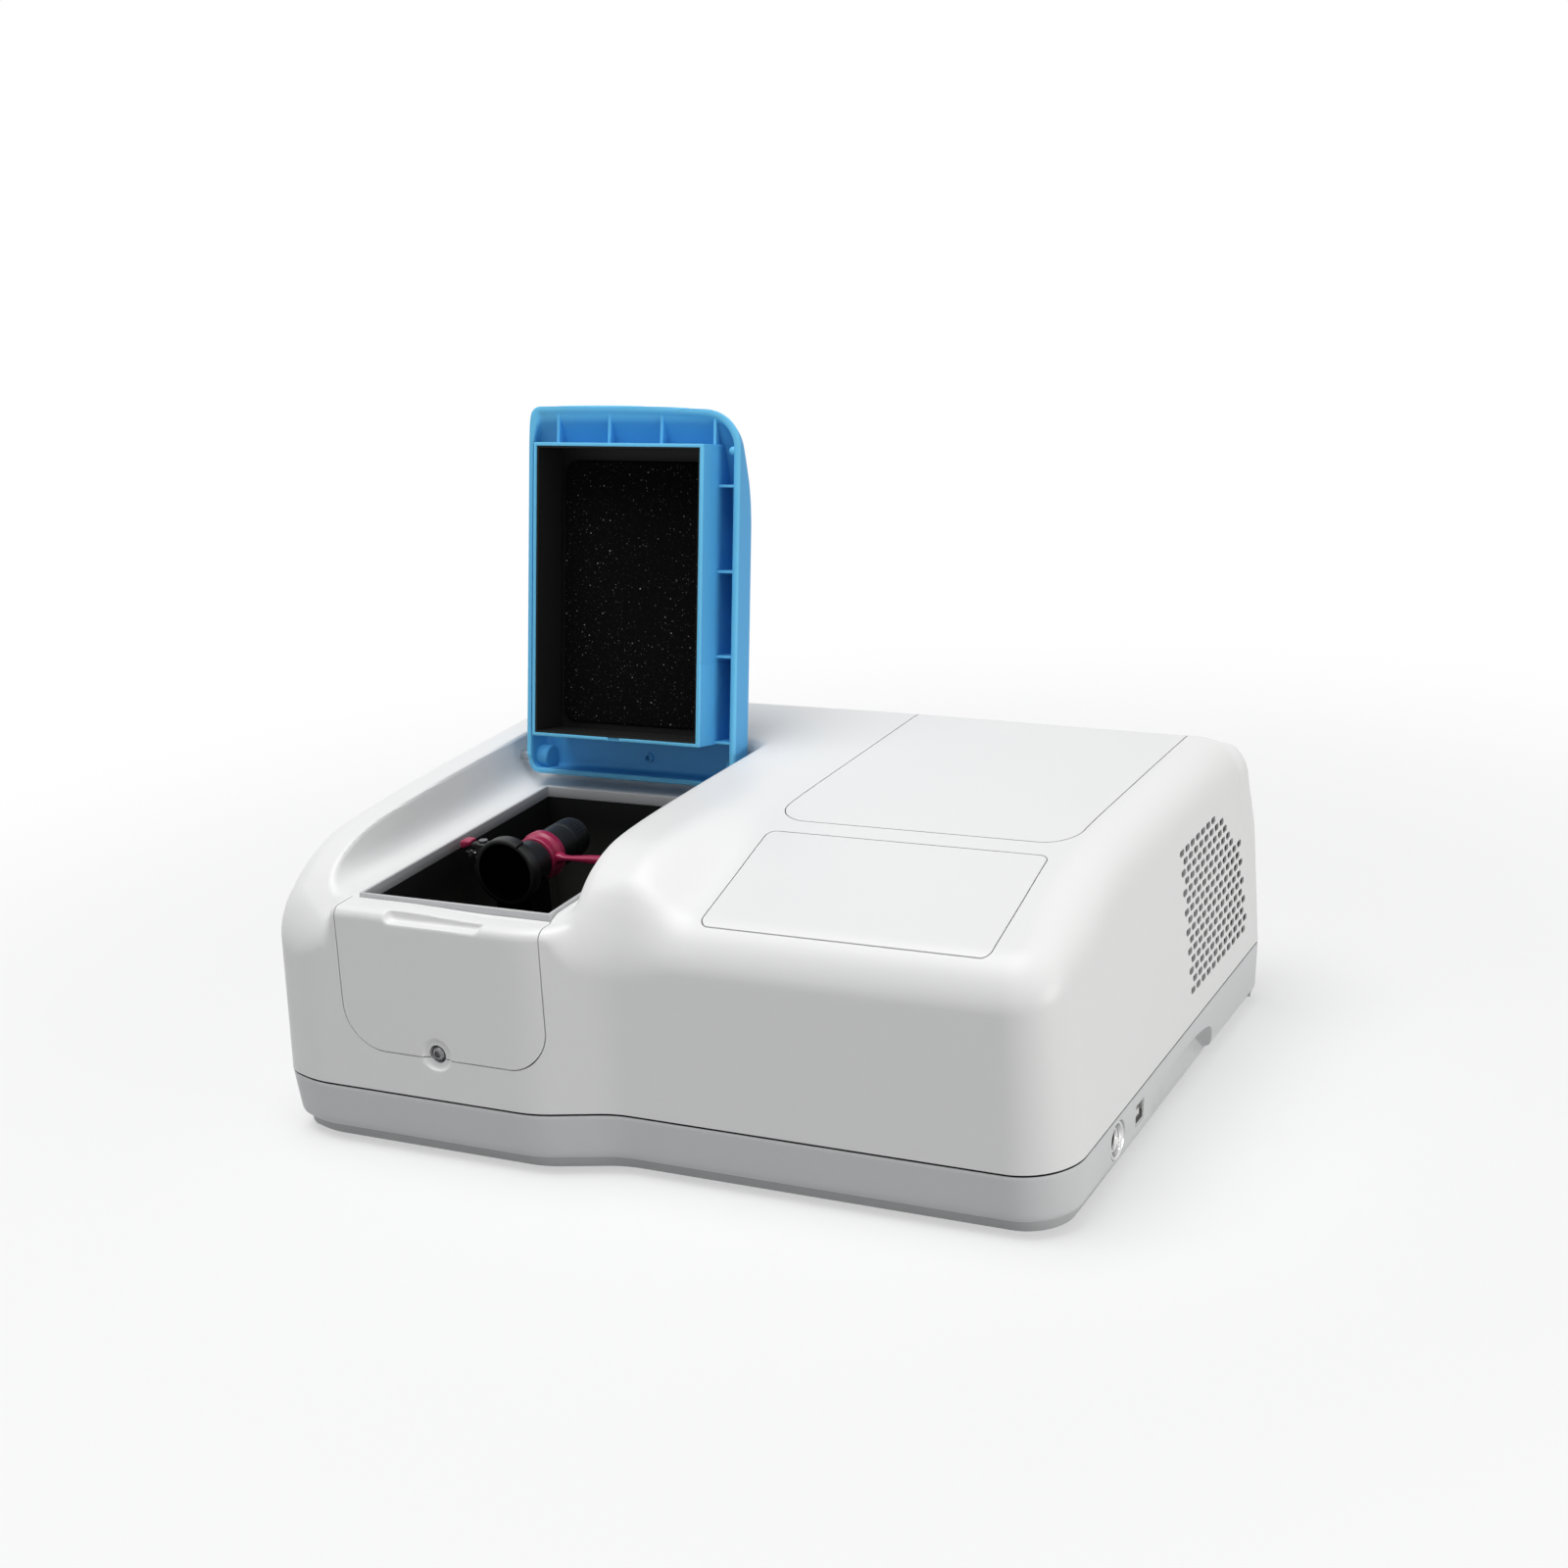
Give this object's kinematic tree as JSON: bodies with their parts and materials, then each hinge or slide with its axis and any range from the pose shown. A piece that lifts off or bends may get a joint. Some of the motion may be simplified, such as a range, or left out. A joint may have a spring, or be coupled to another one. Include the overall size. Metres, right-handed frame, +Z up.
{
  "type": "bench spectrophotometer",
  "caption": "Bench spectrophotometer with an open blue lid over its sample compartment, a micro-volume head inside and a blank panel on its slope.",
  "frame": {"origin": "middle of the instrument's footprint on the bench, under its feet", "axes": "+X to the instrument's right as seen from its front, +Y to its rear, +Z up"},
  "size_m": [0.4708, 0.3512, 0.3732],
  "materials": {
    "cover_white": "satin, fine texture",
    "screen_panel": "satin",
    "base_grey": "satin",
    "lid_blue": "semi-gloss",
    "black_liner": "matt",
    "black_foam": "open-cell foam",
    "bearing_plastic": "satin",
    "collar_grey": "satin",
    "black_anodised": "black anodised",
    "black_plastic": "satin",
    "crimson": "semi-gloss",
    "steel": "polished",
    "dark_steel": "satin",
    "sheet_steel": "galvanised",
    "socket_silver": "nickel plated",
    "tongue_white": "satin",
    "rear_black": "satin",
    "rocker_black": "gloss",
    "foot_rubber": "matt",
    "quartz": "clear",
    "cast_aluminium": "bead blasted",
    "mirror_face": "polished",
    "ceramic_white": "matt",
    "lamp_envelope": "clear",
    "board_green": "satin",
    "supply_dark": "satin"
  },
  "bodies": {
    "housing": {"arch_drum": "black_anodised", "barrel": "black_anodised", "base_screws": "steel", "base_tray": "base_grey", "beam_windows": "quartz", "board_posts": "steel", "cell_block": "black_anodised", "chassis_plate": "sheet_steel", "collar": "collar_grey", "collimating_mirror": "mirror_face", "compartment_liner": "black_liner", "control_panel": "screen_panel", "data_shell": "socket_silver", "data_tongue": "tongue_white", "detector_housing": "cast_aluminium", "fan_frame": "black_plastic", "fan_mount": "sheet_steel", "feet": "foot_rubber", "focusing_mirror": "mirror_face", "head_shaft": "dark_steel", "hinge_pins": "steel", "inlet_pins": "socket_silver", "lamp_bases": "ceramic_white", "lamp_bracket": "sheet_steel", "lamp_cover": "cover_white", "lamp_glass": "lamp_envelope", "liner_legs": "black_plastic", "main_board": "board_green", "monochromator_cover": "cast_aluminium", "monochromator_housing": "cast_aluminium", "panel_screws": "steel", "photodiode": "board_green", "power_inlet": "rear_black", "power_supply": "sheet_steel", "rear_panel": "rear_black", "round_insert": "black_plastic", "round_socket": "socket_silver", "service_panel": "cover_white", "service_screw": "dark_steel", "slit_plates": "sheet_steel", "supply_parts": "supply_dark", "supply_posts": "steel", "swing_pin": "dark_steel", "switch_frame": "rear_black", "upper_cover": "cover_white"},
    "lid": {"lid_shell": "lid_blue", "lid_liner": "black_liner", "lid_foam": "black_foam", "lid_bushes": "bearing_plastic"},
    "setting_ring": {"ring_collar": "crimson", "ring_lever": "crimson"},
    "sample_arm": {"swing_arm": "black_anodised", "arm_cap": "crimson", "contact_pins": "steel"},
    "mains_rocker": {"switch_rocker": "rocker_black"},
    "fan": {"fan_rotor": "black_plastic"},
    "turret": {"grating_turret": "cast_aluminium", "grating": "mirror_face"},
    "lamp_selector": {"lamp_mirror": "mirror_face"}
  },
  "joints": [
    {"name": "lid_hinge", "type": "hinge", "parent": "housing", "child": "lid", "pos_m": [-0.1163, 0.0575, 0.1585], "axis": [1, 0, 0], "range_deg": [0, 102]},
    {"name": "ring_turn", "type": "hinge", "parent": "housing", "child": "setting_ring", "pos_m": [-0.1335, -0.0335, 0.129], "axis": [0, 1, 0], "range_deg": [-12, 55]},
    {"name": "sample_arm_swing", "type": "hinge", "parent": "housing", "child": "sample_arm", "pos_m": [-0.155, -0.0585, 0.134], "axis": [0, 0, -1], "range_deg": [0, 75]},
    {"name": "mains_rocker_tilt", "type": "hinge", "parent": "housing", "child": "mains_rocker", "pos_m": [-0.1197, 0.1665, 0.071], "axis": [1, 0, 0], "range_deg": [-16, 0]},
    {"name": "fan_spin", "type": "hinge", "parent": "housing", "child": "fan", "pos_m": [0.211, 0.1025, 0.08], "axis": [1, 0, 0], "continuous": true},
    {"name": "turret_turn", "type": "hinge", "parent": "housing", "child": "turret", "pos_m": [0.0495, -0.0845, 0.023], "axis": [0, 0, 1], "range_deg": [-40, 40]},
    {"name": "lamp_selector_turn", "type": "hinge", "parent": "housing", "child": "lamp_selector", "pos_m": [0.1495, 0.0665, 0.023], "axis": [0, 0, 1], "range_deg": [0, 80]}
  ]
}
